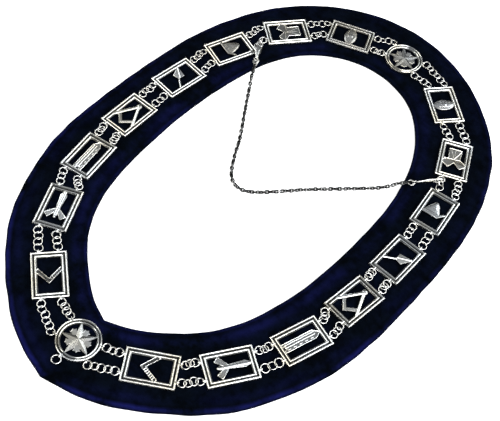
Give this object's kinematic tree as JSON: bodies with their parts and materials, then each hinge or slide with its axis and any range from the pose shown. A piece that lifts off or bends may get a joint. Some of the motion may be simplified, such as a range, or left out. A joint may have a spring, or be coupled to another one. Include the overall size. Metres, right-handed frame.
{
  "type": "masonic collar",
  "caption": "Dark padded velvet ceremonial collar with a ring-linked chain of openwork emblem plates and star medallions, and a thin safety chain across the neck opening.",
  "frame": {"origin": "centre of the collar's outline, on its underside", "axes": "+Y towards the back of the neck, away from the point on the chest; +X to the right of someone who looks down on the face with the point nearest; +Z out of the face that carries the plates"},
  "size_m": [0.3024, 0.4606, 0.0123],
  "materials": {
    "velvet": "deep blue-black pile velvet",
    "silver_plate": "silver-plated castings and wire"
  },
  "bodies": {
    "root": {"velvet_collar": "velvet", "medallion_front": "silver_plate", "medallion_back": "silver_plate", "hanging_ring": "silver_plate", "plate_left_1": "silver_plate", "plate_left_2": "silver_plate", "plate_left_3": "silver_plate", "plate_left_4": "silver_plate", "plate_left_5": "silver_plate", "plate_left_6": "silver_plate", "plate_left_7": "silver_plate", "plate_left_8": "silver_plate", "plate_right_1": "silver_plate", "plate_right_2": "silver_plate", "plate_right_3": "silver_plate", "plate_right_4": "silver_plate", "plate_right_5": "silver_plate", "plate_right_6": "silver_plate", "plate_right_7": "silver_plate", "plate_right_8": "silver_plate", "rings_left_0_inner": "silver_plate", "rings_left_1_inner": "silver_plate", "rings_left_2_inner": "silver_plate", "rings_left_3_inner": "silver_plate", "rings_left_4_inner": "silver_plate", "rings_left_5_inner": "silver_plate", "rings_left_6_inner": "silver_plate", "rings_left_7_inner": "silver_plate", "rings_left_8_inner": "silver_plate", "rings_left_0_outer": "silver_plate", "rings_left_1_outer": "silver_plate", "rings_left_2_outer": "silver_plate", "rings_left_3_outer": "silver_plate", "rings_left_4_outer": "silver_plate", "rings_left_5_outer": "silver_plate", "rings_left_6_outer": "silver_plate", "rings_left_7_outer": "silver_plate", "rings_left_8_outer": "silver_plate", "rings_right_0_inner": "silver_plate", "rings_right_1_inner": "silver_plate", "rings_right_2_inner": "silver_plate", "rings_right_3_inner": "silver_plate", "rings_right_4_inner": "silver_plate", "rings_right_5_inner": "silver_plate", "rings_right_6_inner": "silver_plate", "rings_right_7_inner": "silver_plate", "rings_right_8_inner": "silver_plate", "rings_right_0_outer": "silver_plate", "rings_right_1_outer": "silver_plate", "rings_right_2_outer": "silver_plate", "rings_right_3_outer": "silver_plate", "rings_right_4_outer": "silver_plate", "rings_right_5_outer": "silver_plate", "rings_right_6_outer": "silver_plate", "rings_right_7_outer": "silver_plate", "rings_right_8_outer": "silver_plate", "clasp_left": "silver_plate", "clasp_right": "silver_plate", "safety_chain": "silver_plate"}
  },
  "joints": []
}
